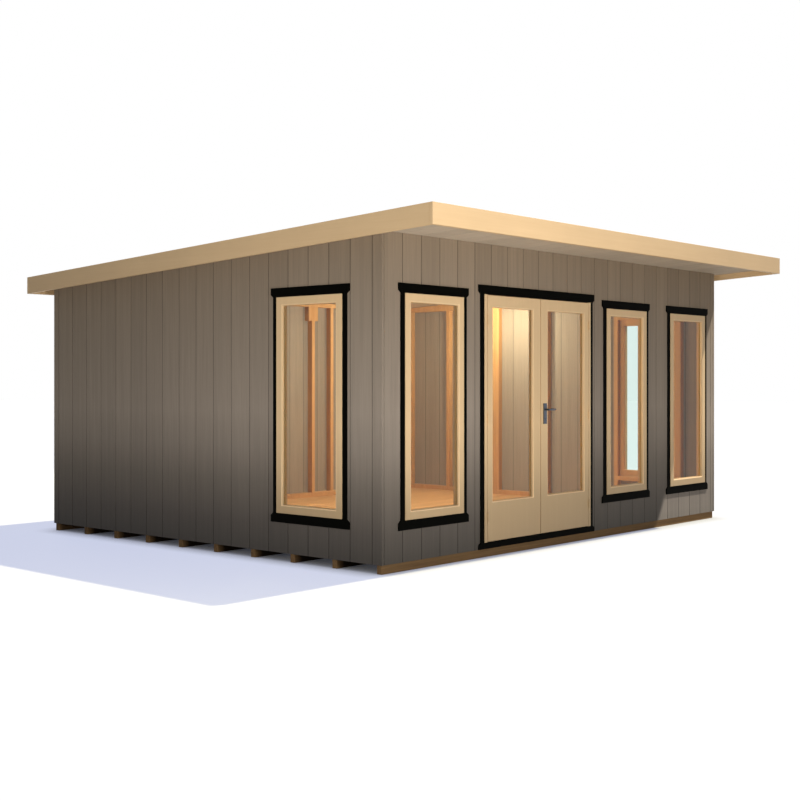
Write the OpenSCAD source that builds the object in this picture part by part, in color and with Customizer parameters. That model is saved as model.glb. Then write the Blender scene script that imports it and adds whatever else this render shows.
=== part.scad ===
// Garden room: a timber cabin with a mono-pitch roof, tall fixed windows and outward double doors.
// X runs along the front wall, Y from the front to the back, Z up from the ground.
// The origin lies on the ground, under the middle of the roof's outline.

/* [Walls] */
// Outside depth of the side walls, over the boards
wall_d = 3910; // [3000:10:5000]
// Thickness of the wall boards
board_t = 12; // [9:1:20]
// Width of a stud across the face of the wall
stud_w = 45; // [35:1:70]
// Depth of a stud through the wall
stud_d = 63; // [45:1:95]
// Spacing between the centres of a side wall's studs, counted from its panel joint
stud_pitch = 648; // [400:1:700]
// Distance of a side wall's panel joint from the front end of the wall
panel_joint_y = 2578; // [2200:1:3000]
// Widest spacing between the centres of the back wall's studs
back_stud_pitch = 560; // [400:10:560]
// Distance of each head block on the back wall from the side of the building, to its middle
block_x = 1660; // [1500:1:1900]
// Distance from a head block to the next stud towards the side
block_stud = 290; // [200:1:400]
// Width of a head block
block_w = 140; // [90:1:200]
// Height of a head block
block_h = 195; // [90:1:300]
// Height of the top of the floor bearers, where the wall boards start
bearer_h = 65; // [45:1:120]
// Width of a floor bearer
bearer_w = 45; // [35:1:75]
// Widest spacing between the centres of the floor bearers
bearer_pitch = 430; // [350:1:600]
// Distance of the bearers' faces and ends behind the outside of the walls
bearer_inset = 12; // [0:1:30]
// Thickness of the floor boards
floor_t = 18; // [12:1:28]

/* [Roof] */
// Height of the underside of the roof boards at the face of the front wall
eaves_h = 2374; // [2250:1:2600]
// Fall of the roof towards the back, millimetres in each metre
roof_fall = 52; // [20:1:60]
// Reach of the roof in front of the front wall
front_over = 590; // [300:5:900]
// Reach of the roof behind the back wall
rear_over = 163; // [60:1:300]
// Reach of the roof beyond each side wall
side_over = 172; // [60:1:300]
// Thickness of the boards under the roof
soffit_t = 12; // [9:1:20]
// Height of the rafters on the roof boards
rafter_h = 63; // [45:1:95]
// Width of a rafter
rafter_w = 45; // [35:1:60]
// Widest spacing between the centres of two rafters
rafter_pitch = 600; // [400:10:800]
// Thickness of the deck on the rafters
deck_t = 12; // [9:1:20]
// Thickness of the roof sheet on the deck
sheet_t = 3; // [2:0.5:6]
// Height of the fascia boards
fascia_h = 147; // [120:1:200]
// Thickness of the fascia boards
fascia_t = 27; // [18:1:35]
// Height of the fascia's top above the roof sheet
fascia_lip = 5; // [2:1:20]

/* [Windows] */
// Outside width of each window frame
window_w = 665; // [500:1:800]
// Height of the underside of the window frames
window_z = 360; // [250:1:800]
// Distance of the top of the window frames below the top of the doorway
window_drop = 37; // [10:1:300]
// Width of the window frame's members
window_rail = 53; // [40:1:70]
// Width of the glazing bead, inside the members
bead_w = 10; // [6:1:16]
// Step from the face of the frame down to the bead
bead_step = 5; // [3:1:9]
// Depth of the window frames through the wall
window_depth = 57; // [48:1:70]
// Distance from the left end of the front wall to the middle of the first front window
window_1_x = 567; // [500:1:800]
// Distance from the middle of the first front window to the doorway
window_1_gap = 589.5; // [500:0.5:800]
// Distance from the doorway to the middle of the second front window
window_2_gap = 595.5; // [500:0.5:800]
// Distance between the middles of the second and the third front window
window_spacing = 1103; // [900:1:1500]
// Distance from the middle of the third front window to the right end of the front wall
window_3_gap = 550; // [500:1:800]
// Middle of each side window, from the front end of the side wall
side_window_y = 698; // [560:1:1500]
// Thickness of a pane of glass
glass_t = 4; // [3:1:8]
// Depth of the glass behind the face of its frame
glass_set = 20; // [15:1:28]

/* [Casings] */
// Thickness of the black boards round the openings
casing_t = 10; // [8:1:14]
// Width of the upright casing boards
casing_w = 42; // [30:1:60]
// Height of the head and sill boards of a window
head_h = 70; // [55:1:90]
// Reach of the head and sill boards past the uprights
head_ear = 25; // [15:1:40]
// Height of the slanted cut at the ends of the head and sill boards
ear_cut = 20; // [10:1:30]
// Distance that frames and doors stand proud of the wall boards
proud = 16; // [12:1:25]

/* [Doors] */
// Clear width between the upright casings of the doorway
door_w = 1475; // [1300:1:1700]
// Distance of the underside of the door's head casing below the roof boards at the front wall
over_door = 383; // [300:1:450]
// Width of the frame post that shows beside each door
post_w = 30; // [25:1:50]
// Depth of the door frame through the wall
door_frame_d = 59; // [56:1:90]
// Height of the door frame's head, behind the casing
door_head = 30; // [25:1:45]
// Height of the slanted cut at the ends of the threshold board
threshold_cut = 14; // [8:1:20]
// Reach of the door stop past the post
stop_w = 17; // [12:1:25]
// Thickness of the doors
leaf_t = 44; // [36:1:50]
// Gap round each door
leaf_gap = 5; // [5:1:8]
// Gap between the two doors
meeting_gap = 8; // [7:1:12]
// Width of the door's upright on the hinge side
hinge_stile = 59; // [50:1:90]
// Width of the door's upright on the meeting side
meeting_stile = 92; // [80:1:110]
// Height of the door's top rail
top_rail = 81; // [60:1:110]
// Height of the solid lower part of the door
bottom_panel = 292; // [200:1:600]
// Height of the top of the door's sill
sill_h = 114; // [100:1:125]

/* [Hinges and handle] */
// Radius of a hinge barrel
barrel_r = 6; // [5:0.5:8]
// Radius of a hinge pin
pin_r = 3; // [2:0.5:3.5]
// Height of a hinge
hinge_h = 76; // [60:1:120]
// Reach of a hinge flap along the edge of the door
flap_w = 34; // [20:1:38]
// Thickness of a hinge flap
flap_t = 1.5; // [1:0.1:2]
// Height of the lever's spindle
lever_z = 1106; // [1020:1:1200]
// Radius of the spindle
spindle_r = 4; // [3:0.5:5]
// Width of a handle plate
plate_w = 42; // [36:1:50]
// Height of a handle plate
plate_h = 165; // [140:1:220]
// Thickness of a handle plate
plate_t = 8; // [5:1:10]
// Depth of the spindle below the top of the plate
plate_above = 50; // [30:1:60]
// Reach of a lever from its spindle
lever_len = 92; // [70:1:110]
// Distance from the plate to the middle of the lever
lever_out = 38; // [30:1:50]
// Radius of a lever
lever_r = 8; // [6:0.5:10]

/* [Hidden] */

timber_grey = [0.47, 0.41, 0.34];
pine = [0.85, 0.55, 0.30];
cream = [0.84, 0.71, 0.52];
black = [0.05, 0.05, 0.05];
brown = [0.36, 0.26, 0.15];
steel = [0.55, 0.56, 0.58];
clear_glass = [0.75, 0.85, 0.85, 0.35];

// The front wall, from its left end to its right end
door_left = window_1_x + window_1_gap;
door_right = door_left + door_w;
door_x = (door_left + door_right) / 2;
front_windows = [window_1_x, door_right + window_2_gap, door_right + window_2_gap + window_spacing];
wall_w = front_windows[2] + window_3_gap;

slope = roof_fall / 1000;
roof_front = -front_over;
roof_back = wall_d + rear_over;
roof_left = -side_over;
roof_right = wall_w + side_over;
mid_y = (roof_front + roof_back) / 2;
floor_z = bearer_h + floor_t;
wall_in = board_t + stud_d;
// The top of the back wall, and of the level plate in the side walls
wall_top = eaves_h - slope * (wall_d - board_t);
$fn = 32;
// Extra length of a cut past each face
through = 1;
// Heights in the roof, each above the underside of the roof boards
rafter_z = soffit_t;
deck_z = rafter_z + rafter_h;
sheet_z = deck_z + deck_t;
fascia_top = sheet_z + sheet_t + fascia_lip;
fascia_low = fascia_top - fascia_h;

// The doorway
door_top = eaves_h - over_door;
leaf_z = sill_h + leaf_gap;
leaf_h = door_top - leaf_gap - leaf_z;
leaf_w = (door_w - 2 * post_w - 2 * leaf_gap - meeting_gap) / 2;
leaf_back = leaf_t - proud;
left_leaf_x = door_left + post_w + leaf_gap;
right_leaf_x = door_right - post_w - leaf_gap - leaf_w;
pin_clear = 0.08;
knuckle_gap = 0.4;
barrel_off = 0.5;
left_pin_x = door_left + post_w + leaf_gap / 2;
right_pin_x = door_right - post_w - leaf_gap / 2;
pin_y = -proud - barrel_r - barrel_off;
hinge_count = 3;
hinge_inset = 150;
hinge_zs = [for (i = [0 : hinge_count - 1])
    leaf_z + hinge_inset + i * (leaf_h - 2 * hinge_inset - hinge_h) / (hinge_count - 1)];
spindle_x = right_leaf_x + (meeting_stile + bead_w) / 2;
spindle_clear = 0.08;
// Play of the spindle in the door
spindle_play = 2;
// Gap between the neck of a lever and its plate
neck_gap = 1;

window_h = door_top - window_drop - window_z;

// Height of the underside of the roof boards at a distance behind the front wall's face
function soffit_at(y) = eaves_h - slope * y;

// Centres of the bearers, studs or rafters between two ends, no wider apart than a pitch
function spread(a, b, pitch) = let (n = ceil((b - a) / pitch)) [for (i = [0 : n]) a + (b - a) * i / n];

// Centres of a side wall's studs: a pair at the panel joint, and the others counted from it
side_studs = [for (side = [-1, 1], i = [0 : floor(wall_d / stud_pitch)])
    panel_joint_y + side * (stud_w / 2 + i * stud_pitch)];

// Moves the building's own corner frame to the part's origin
module site() translate([-wall_w / 2, -mid_y, 0]) children();

// A block from one corner to the opposite one
module block(low, high) translate(low) cube(high - low);

// A flat outline in Y and Z, drawn out along X
module along_x(x0, x1) translate([x0, 0, 0]) rotate([90, 0, 90]) linear_extrude(x1 - x0) children();

// A flat outline in X and Z, drawn out along Y
module along_y(y0, y1) translate([0, y1, 0]) rotate([90, 0, 0]) linear_extrude(y1 - y0) children();

// A layer of the roof, between two heights above the underside of the roof boards
module roof_layer(x0, x1, y0, y1, low, high)
    along_x(x0, x1) polygon([[y0, soffit_at(y0) + low], [y1, soffit_at(y1) + low],
        [y1, soffit_at(y1) + high], [y0, soffit_at(y0) + high]]);

// Turns something drawn for the front wall so that it stands in the left wall, or in the right one
module in_left_wall() multmatrix([[0, 1, 0, 0], [1, 0, 0, 0], [0, 0, 1, 0]]) children();
module in_right_wall() translate([wall_w, 0, 0]) rotate([0, 0, 90]) children();

module floor_bearers() color(brown) site() {
    from_end = bearer_inset + bearer_w / 2;
    for (y = spread(from_end, wall_d - from_end, bearer_pitch))
        block([bearer_inset, y - bearer_w / 2, 0], [wall_w - bearer_inset, y + bearer_w / 2, bearer_h]);
}

module floor_deck() color(pine) site()
    block([board_t, board_t, bearer_h], [wall_w - board_t, wall_d - board_t, floor_z]);

// The outline of a side wall in Y and Z
module side_outline(y0, y1, low, drop = 0)
    polygon([[y0, low], [y1, low], [y1, soffit_at(y1) - drop], [y0, soffit_at(y0) - drop]]);

module window_hole(middle) translate([middle - window_w / 2, window_z]) square([window_w, window_h]);

module cladding_side(x0) color(timber_grey) site() along_x(x0, x0 + board_t) difference() {
    side_outline(0, wall_d, bearer_h);
    window_hole(side_window_y);
}
module cladding_left() cladding_side(0);
module cladding_right() cladding_side(wall_w - board_t);

module cladding_back() color(timber_grey) site()
    block([board_t, wall_d - board_t, bearer_h], [wall_w - board_t, wall_d, soffit_at(wall_d)]);

// Part of the front wall's boards, cut to the slope of the roof at its face
module cladding_front(x0, x1, low) color(timber_grey) site() along_y(0, board_t) difference() {
    translate([x0, low]) square([x1 - x0, soffit_at(board_t) - low]);
    for (x = front_windows) window_hole(x);
}
module cladding_front_left() cladding_front(board_t, door_left, bearer_h);
module cladding_front_right() cladding_front(door_right, wall_w - board_t, bearer_h);
module cladding_over_door() cladding_front(door_left, door_right, door_top + door_head);

// Upright studs between two plates, in X and Z. A stud stays a stud's width clear of the ends and
// of the pair beside each window, and a window has short studs over and under its middle.
module stud_field(x0, x1, low, high, xs, windows) {
    from_end = 1.5 * stud_w;
    from_window = window_w / 2 + 2 * stud_w;
    inner = [for (x = xs) if (x > x0 + from_end && x < x1 - from_end
        && len([for (w = windows) if (abs(x - w) < from_window) w]) == 0) x];
    difference() {
        union() {
            translate([x0, low]) square([x1 - x0, stud_w]);
            translate([x0, high - stud_w]) square([x1 - x0, stud_w]);
            for (x = concat([x0 + stud_w / 2, x1 - stud_w / 2], windows, inner))
                translate([x - stud_w / 2, low]) square([stud_w, high - low]);
            for (w = windows) {
                for (side = [-1, 1]) translate([w + side * (window_w + stud_w) / 2 - stud_w / 2, low])
                    square([stud_w, high - low]);
                translate([w - window_w / 2, window_z - stud_w]) square([window_w, stud_w]);
                translate([w - window_w / 2, window_z + window_h]) square([window_w, stud_w]);
            }
        }
        for (w = windows) window_hole(w);
    }
}

// The studs of a side wall, trimmed to the slope of the roof, with a level plate at the height of
// the back wall, a sloping rail over it and a stud in each corner, beside the end wall's frame
module frame_side(x0) color(pine) site() along_x(x0, x0 + stud_d) {
    y0 = board_t;
    y1 = wall_d - board_t;
    intersection() {
        side_outline(y0, y1, floor_z);
        union() {
            stud_field(y0, y1, floor_z, eaves_h, side_studs, [side_window_y]);
            for (y = [wall_in, wall_d - wall_in - stud_w])
                translate([y, floor_z]) square([stud_w, eaves_h - floor_z]);
            translate([y0, wall_top - stud_w]) square([y1 - y0, stud_w]);
        }
    }
    polygon([[y0, soffit_at(y0) - stud_w], [y1, soffit_at(y1) - stud_w], [y1, soffit_at(y1)],
        [y0, soffit_at(y0)]]);
}
module frame_left() frame_side(board_t);
module frame_right() frame_side(wall_w - wall_in);

// The back wall's studs, with a head block on each of two, and the others spread between them
module frame_back() color(pine) site() {
    x0 = wall_in;
    x1 = wall_w - wall_in;
    posts = [block_x, wall_w - block_x];
    set_out = [x0 + stud_w / 2, block_x - block_stud, block_x, wall_w - block_x,
        wall_w - block_x + block_stud, x1 - stud_w / 2];
    studs = [for (i = [1 : len(set_out) - 1]) each spread(set_out[i - 1], set_out[i], back_stud_pitch)];
    along_y(wall_d - wall_in, wall_d - board_t) {
        stud_field(x0, x1, floor_z, wall_top, studs, []);
        for (x = posts) translate([x - block_w / 2, wall_top - block_h]) square([block_w, block_h]);
    }
}

module frame_front(x0, x1, windows) color(pine) site()
    along_y(board_t, wall_in) stud_field(x0, x1, floor_z, soffit_at(wall_in), [], windows);
module frame_front_left() frame_front(wall_in, door_left, [front_windows[0]]);
module frame_front_right() frame_front(door_right, wall_w - wall_in, [front_windows[1], front_windows[2]]);

// The lintel over the doorway, with short studs up to the plate
module frame_over_door() color(pine) site() along_y(board_t, wall_in) {
    low = door_top + door_head;
    high = soffit_at(wall_in);
    stud_field(door_left, door_right, low, high, spread(door_left, door_right, back_stud_pitch), []);
}

module roof_soffit() color(timber_grey) site()
    roof_layer(roof_left + fascia_t, roof_right - fascia_t, roof_front + fascia_t, roof_back - fascia_t,
        0, soffit_t);

// The deck and the rafters under it, which reach half-way into the deck and make one solid with it
module roof_panel() color(pine) site() {
    x0 = roof_left + fascia_t;
    x1 = roof_right - fascia_t;
    y0 = roof_front + fascia_t;
    y1 = roof_back - fascia_t;
    roof_layer(x0, x1, y0, y1, deck_z, sheet_z);
    for (x = spread(x0 + rafter_w / 2, x1 - rafter_w / 2, rafter_pitch))
        roof_layer(x - rafter_w / 2, x + rafter_w / 2, y0, y1, rafter_z, deck_z + deck_t / 2);
}

module roof_sheet() color("dimgray") site()
    roof_layer(roof_left + fascia_t, roof_right - fascia_t, roof_front + fascia_t, roof_back - fascia_t,
        sheet_z, sheet_z + sheet_t);

// A fascia board across the front or the back, from one side of the roof to the other
module fascia_across(y0) color(cream) site()
    roof_layer(roof_left, roof_right, y0, y0 + fascia_t, fascia_low, fascia_top);
module fascia_front() fascia_across(roof_front);
module fascia_back() fascia_across(roof_back - fascia_t);

module fascia_side(x0) color(cream) site()
    roof_layer(x0, x0 + fascia_t, roof_front + fascia_t, roof_back - fascia_t, fascia_low, fascia_top);
module fascia_left() fascia_side(roof_left);
module fascia_right() fascia_side(roof_right - fascia_t);

// The boards round an opening of a width and a height, from the opening's lower middle. The head and
// the sill reach past the uprights, with their corners cut at a slant where they meet them.
module casing_outline(w, h, sill, sill_cut) difference() {
    side = w / 2 + casing_w;
    ear = side + head_ear;
    top = h + head_h;
    cut = h + ear_cut;
    polygon([[-side, 0], [-ear, -sill_cut], [-ear, -sill], [ear, -sill], [ear, -sill_cut], [side, 0],
        [side, h], [ear, cut], [ear, top], [-ear, top], [-ear, cut], [-side, h]]);
    translate([-w / 2, 0]) square([w, h]);
}

// The black boards round a window, drawn for the front wall
module casing(middle) color(black)
    along_y(-casing_t, 0) translate([middle, window_z]) casing_outline(window_w, window_h, head_h, ear_cut);
module casing_left() site() in_left_wall() casing(side_window_y);
module casing_right() site() in_right_wall() casing(side_window_y);
module casing_front_1() site() casing(front_windows[0]);
module casing_front_2() site() casing(front_windows[1]);
module casing_front_3() site() casing(front_windows[2]);

// A frame of four members round an opening, in X and Z
module ring(w, h, rail) difference() {
    square([w, h]);
    translate([rail, rail]) square([w - 2 * rail, h - 2 * rail]);
}

// A window frame, with a glazing bead on each side of the glass
module window_frame(middle) color(cream) translate([middle - window_w / 2, -proud, window_z]) {
    along_y(0, window_depth) ring(window_w, window_h, window_rail);
    along_y(bead_step, glass_set) ring(window_w, window_h, window_rail + bead_w);
    along_y(glass_set + glass_t, window_depth - bead_step) ring(window_w, window_h, window_rail + bead_w);
}
module window_left() site() in_left_wall() window_frame(side_window_y);
module window_right() site() in_right_wall() window_frame(side_window_y);
module window_front_1() site() window_frame(front_windows[0]);
module window_front_2() site() window_frame(front_windows[1]);
module window_front_3() site() window_frame(front_windows[2]);

module window_pane(middle) color(clear_glass) block(
    [middle - window_w / 2 + window_rail, glass_set - proud, window_z + window_rail],
    [middle + window_w / 2 - window_rail, glass_set - proud + glass_t, window_z + window_h - window_rail]);
module side_window_glass() site() {
    in_left_wall() window_pane(side_window_y);
    in_right_wall() window_pane(side_window_y);
}
module front_window_glass() site() for (x = front_windows) window_pane(x);

module door_casing() color(black) site() along_y(-casing_t, 0) translate([door_x, sill_h])
    casing_outline(door_w, door_top - sill_h, sill_h - bearer_h, threshold_cut);

// The cream door frame: posts with stops, a head behind the casing and a sill
module door_frame() color(cream) site() {
    stop_y = leaf_back + leaf_gap;
    for (side = [0, 1]) translate([door_x, 0, 0]) mirror([side, 0, 0]) translate([-door_w / 2, 0, 0]) {
        block([0, -proud, sill_h], [post_w, door_frame_d, door_top]);
        block([post_w, stop_y, sill_h], [post_w + stop_w, door_frame_d, door_top]);
    }
    block([door_left, 0, door_top], [door_right, door_frame_d, door_top + door_head]);
    block([door_left, stop_y, door_top - stop_w], [door_right, door_frame_d, door_top]);
    block([door_left, 0, floor_z], [door_right, door_frame_d, sill_h]);
}

// A door, drawn with its hinge edge at X = 0 and its free edge at X = leaf_w
module leaf_body() {
    x0 = hinge_stile;
    x1 = leaf_w - meeting_stile;
    z0 = bottom_panel;
    z1 = leaf_h - top_rail;
    difference() {
        cube([leaf_w, leaf_t, leaf_h]);
        block([x0, -through, z0], [x1, leaf_t + through, z1]);
    }
    pane = [x1 - x0, z1 - z0];
    translate([x0, 0, z0]) {
        along_y(bead_step, glass_set) ring(pane[0], pane[1], bead_w);
        along_y(glass_set + glass_t, leaf_t - bead_step) ring(pane[0], pane[1], bead_w);
    }
}

module leaf_pane() block([hinge_stile, glass_set, bottom_panel],
    [leaf_w - meeting_stile, glass_set + glass_t, leaf_h - top_rail]);

module at_left_leaf() translate([left_leaf_x, -proud, leaf_z]) children();
module at_right_leaf() translate([right_leaf_x + leaf_w, -proud, leaf_z]) mirror([1, 0, 0]) children();

module left_leaf() color(cream) site() at_left_leaf() leaf_body();
module right_leaf() color(cream) site() difference() {
    at_right_leaf() leaf_body();
    translate([spindle_x, -proud - through, lever_z]) rotate([-90, 0, 0])
        cylinder(r = spindle_r + spindle_play, h = leaf_t + 2 * through);
}
module left_leaf_glass() color(clear_glass) site() at_left_leaf() leaf_pane();
module right_leaf_glass() color(clear_glass) site() at_right_leaf() leaf_pane();

// The half of a hinge on the frame: a flap, the outer knuckles and the pin.
// side is 1 for the left door, whose frame lies on the low side of X.
module frame_half(pin_x, side) {
    knuckle = hinge_h / 3;
    for (z = hinge_zs) translate([pin_x, pin_y, z]) {
        cylinder(r = pin_r, h = hinge_h);
        for (low = [0, 2 * knuckle]) translate([0, 0, low]) hinge_knuckle(knuckle, -side);
        flap(-side);
    }
}

// A knuckle with the tongue that joins it to its flap
module hinge_knuckle(h, side) {
    cylinder(r = barrel_r, h = h);
    x = leaf_gap / 2 - flap_t;
    translate([side > 0 ? x : -x - flap_t, 0, 0]) cube([flap_t, barrel_r + barrel_off, h]);
}

module flap(side) {
    x = leaf_gap / 2 - flap_t;
    translate([side > 0 ? x : -x - flap_t, barrel_r + barrel_off, 0]) cube([flap_t, flap_w, hinge_h]);
}

// The half of a hinge on the door: a flap and the middle knuckle, bored for the pin
module leaf_half(pin_x, side) {
    knuckle = hinge_h / 3;
    for (z = hinge_zs) translate([pin_x, pin_y, z]) {
        difference() {
            translate([0, 0, knuckle + knuckle_gap]) hinge_knuckle(knuckle - 2 * knuckle_gap, side);
            cylinder(r = pin_r + pin_clear, h = hinge_h);
        }
        flap(side);
    }
}

module hinge_frame_halves() color(steel) site() {
    frame_half(left_pin_x, 1);
    frame_half(right_pin_x, -1);
}
module left_leaf_hinges() color(steel) site() leaf_half(left_pin_x, 1);
module right_leaf_hinges() color(steel) site() leaf_half(right_pin_x, -1);

module handle_plates() color(steel) site() for (y = [-proud - plate_t, leaf_back])
    translate([spindle_x, y, lever_z]) difference() {
        translate([-plate_w / 2, 0, plate_above - plate_h]) cube([plate_w, plate_t, plate_h]);
        translate([0, -through, 0]) rotate([-90, 0, 0])
            cylinder(r = spindle_r + spindle_clear, h = plate_t + 2 * through);
    }

// The spindle through the door, with a lever on each face
module lever() color(steel) site() translate([spindle_x, 0, lever_z]) {
    out = -proud - plate_t - lever_out;
    back = leaf_back + plate_t + lever_out;
    translate([0, out, 0]) rotate([-90, 0, 0]) cylinder(r = spindle_r, h = back - out);
    neck = lever_out - neck_gap;
    for (y = [out, back - neck]) translate([0, y, 0]) rotate([-90, 0, 0]) cylinder(r = lever_r, h = neck);
    for (y = [out, back]) translate([0, y, 0]) {
        sphere(r = lever_r);
        rotate([0, 90, 0]) cylinder(r = lever_r, h = lever_len - lever_r);
        translate([lever_len - lever_r, 0, 0]) sphere(r = lever_r);
    }
}

floor_bearers();
floor_deck();
cladding_left();
cladding_right();
cladding_back();
cladding_front_left();
cladding_front_right();
cladding_over_door();
frame_left();
frame_right();
frame_back();
frame_front_left();
frame_front_right();
frame_over_door();
roof_soffit();
roof_panel();
roof_sheet();
fascia_front();
fascia_left();
fascia_right();
fascia_back();
casing_left();
casing_right();
casing_front_1();
casing_front_2();
casing_front_3();
window_left();
window_right();
window_front_1();
window_front_2();
window_front_3();
side_window_glass();
front_window_glass();
door_casing();
door_frame();
left_leaf();
right_leaf();
left_leaf_glass();
right_leaf_glass();
hinge_frame_halves();
left_leaf_hinges();
right_leaf_hinges();
handle_plates();
lever();
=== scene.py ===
# %% [markdown]
# A garden room: a timber cabin with a single-pitch roof, tall fixed windows and double doors.
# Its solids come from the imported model, in metres, and are the measure of everything added here.
# They could be dressed by eye, but each place below is read from the solids, so nothing needs fitting.

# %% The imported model
import math

import bmesh
import bpy
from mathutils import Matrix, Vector


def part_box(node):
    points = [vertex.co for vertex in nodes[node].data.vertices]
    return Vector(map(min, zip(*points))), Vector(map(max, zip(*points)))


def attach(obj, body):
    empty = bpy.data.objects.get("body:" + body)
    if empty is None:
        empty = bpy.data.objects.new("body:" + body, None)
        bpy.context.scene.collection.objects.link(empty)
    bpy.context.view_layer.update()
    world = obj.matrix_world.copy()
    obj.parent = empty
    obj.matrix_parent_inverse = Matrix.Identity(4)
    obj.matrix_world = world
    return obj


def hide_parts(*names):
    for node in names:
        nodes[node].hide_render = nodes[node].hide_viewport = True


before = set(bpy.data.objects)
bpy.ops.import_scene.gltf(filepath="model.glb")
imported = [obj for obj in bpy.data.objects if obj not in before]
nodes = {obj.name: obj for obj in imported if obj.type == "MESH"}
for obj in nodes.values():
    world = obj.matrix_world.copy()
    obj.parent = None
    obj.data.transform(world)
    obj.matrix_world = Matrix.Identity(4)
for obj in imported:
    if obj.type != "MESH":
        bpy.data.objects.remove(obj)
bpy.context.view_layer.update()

# The directions of the part's frame: to the right, to the back and up
X, Y, Z = range(3)

# %% [markdown]
# A finish is a small program of shader nodes. The nodes could be placed and wired one by one, which
# hides the sums that they do. Here a wire stands for a socket and joins in sums as a number does, so
# that the recipe of a finish reads like one.

# %% Wires
class Wire:
    """A socket that takes part in sums."""

    def __init__(self, finish, socket):
        self.finish = finish
        self.socket = socket

    def sum(self, operation, *others):
        """A Math node on this wire and the values or wires that follow."""
        return self.finish.maths(operation, self, *others)

    def __add__(self, other):
        return self.sum("ADD", other)

    def __radd__(self, other):
        return self.finish.maths("ADD", other, self)

    def __sub__(self, other):
        return self.sum("SUBTRACT", other)

    def __rsub__(self, other):
        return self.finish.maths("SUBTRACT", other, self)

    def __mul__(self, other):
        return self.sum("MULTIPLY", other)

    def __rmul__(self, other):
        return self.finish.maths("MULTIPLY", other, self)

    def __truediv__(self, other):
        return self.sum("DIVIDE", other)

    def __rtruediv__(self, other):
        return self.finish.maths("DIVIDE", other, self)

    def __gt__(self, other):
        return self.sum("GREATER_THAN", other)

    def __lt__(self, other):
        return self.sum("LESS_THAN", other)


print("a wire joins in:", "+ - * / > <")

# %% [markdown]
# Every node then comes from one method. It takes the node's type, its settings and its sockets, so
# that a recipe never has to say how nodes are made or linked. The floor's surroundings are a world
# and not a material, and the same class serves both.

# %% Finishes
class Finish:
    """A material or a world whose node tree is written as expressions."""

    def __init__(self, name, owners="materials", output="OutputMaterial"):
        self.owner = getattr(bpy.data, owners).new(name)
        self.output = output
        self.owner.use_nodes = True
        self.tree = self.owner.node_tree
        self.tree.nodes.clear()

    def add(self, kind, settings=None, sockets=None, out=0):
        """Adds a node: its settings first, then the values or wires of its sockets."""
        node = self.tree.nodes.new("ShaderNode" + kind)
        for name, value in (settings or {}).items():
            if name == "stops":
                self.set_stops(node.color_ramp, value)
            else:
                setattr(node, name, value)
        for key, value in (sockets or {}).items():
            if isinstance(value, Wire):
                self.tree.links.new(value.socket, node.inputs[key])
            else:
                node.inputs[key].default_value = value
        return None if out is None else Wire(self, node.outputs[out])

    def set_stops(self, ramp, stops):
        while len(ramp.elements) < len(stops):
            ramp.elements.new(0.5)
        for element, (position, shade) in zip(ramp.elements, stops):
            element.position = position
            element.color = (*shade, 1) if isinstance(shade, tuple) else (shade, shade, shade, 1)

    def maths(self, operation, *values):
        return self.add("Math", {"operation": operation}, dict(enumerate(values)))

    def finish_with(self, shader):
        """Gives the tree its last shader, and returns the material or world."""
        self.add(self.output, None, {"Surface": shader}, out=None)
        return self.owner


print("one class for:", "materials and the world")

# %% [markdown]
# The recipes share a few steps: where a point is, how far it is stretched, noise, a ramp, and colours
# that are mixed or made darker. The place comes from the piece itself and not from the world, so the
# grain of a door turns with the door.

# %% Places, noise and colours in a finish
NOISE_ROUGHNESS = 0.55


def place(finish):
    """The point on the piece, in metres, which rides with the piece."""
    return finish.add("TexCoord", out="Object")


def axes_of(finish, point):
    """The X, Y and Z of a point, each as a wire."""
    split = finish.add("SeparateXYZ", None, {0: point})
    return [Wire(finish, output) for output in split.socket.node.outputs]


def times(finish, vector, factors):
    """A point or a colour with each of its three parts multiplied."""
    return finish.add("VectorMath", {"operation": "MULTIPLY"}, {0: vector, 1: factors})


def toned(finish, colour, amount):
    """A colour, made lighter or darker by a wire."""
    return finish.add("VectorMath", {"operation": "SCALE"}, {0: colour, "Scale": amount})


def mixed(finish, share, low, high):
    """From one colour to another; the Mix node keeps its colours at 6 and 7, and the result at 2."""
    low, high = [colour if isinstance(colour, Wire) else (*colour, 1) for colour in (low, high)]
    return finish.add("Mix", {"data_type": "RGBA"}, {0: share, 6: low, 7: high}, out=2)


def between(share, low, high):
    """A wire that goes from low to high as a share goes from 0 to 1."""
    return share * (high - low) + low


def noise(finish, point, detail=2.0):
    sockets = {"Vector": point, "Scale": 1.0, "Detail": detail, "Roughness": NOISE_ROUGHNESS}
    return finish.add("TexNoise", {"noise_dimensions": "3D"}, sockets)


def ramp(finish, value, *stops):
    return finish.add("ValToRGB", {"stops": stops}, {0: value})


def bumped(finish, height, depth, strength=0.5):
    sockets = {"Strength": strength, "Distance": depth, "Height": height}
    return finish.add("Bump", None, sockets)


def solid(finish, **sockets):
    """The shader of a solid surface, with sockets named as on the node."""
    names = {key.replace("_", " "): value for key, value in sockets.items()}
    return finish.add("BsdfPrincipled", None, names)


print("noise roughness:", NOISE_ROUGHNESS)

# %% [markdown]
# Every timber here has a grain that runs along its boards. A wave texture gives stripes that look
# printed; noise that is stretched along the grain gives streaks of changing length and strength.
# Three sizes of it are laid over one another: broad figure, streaks, and the fine fibres.

# %% The grain of a timber
# Each layer's turns in a metre, across the grain and along it, and its share
GRAIN = ((22, 0.7, 0.42), (95, 2.2, 0.36), (420, 9, 0.22))


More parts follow.
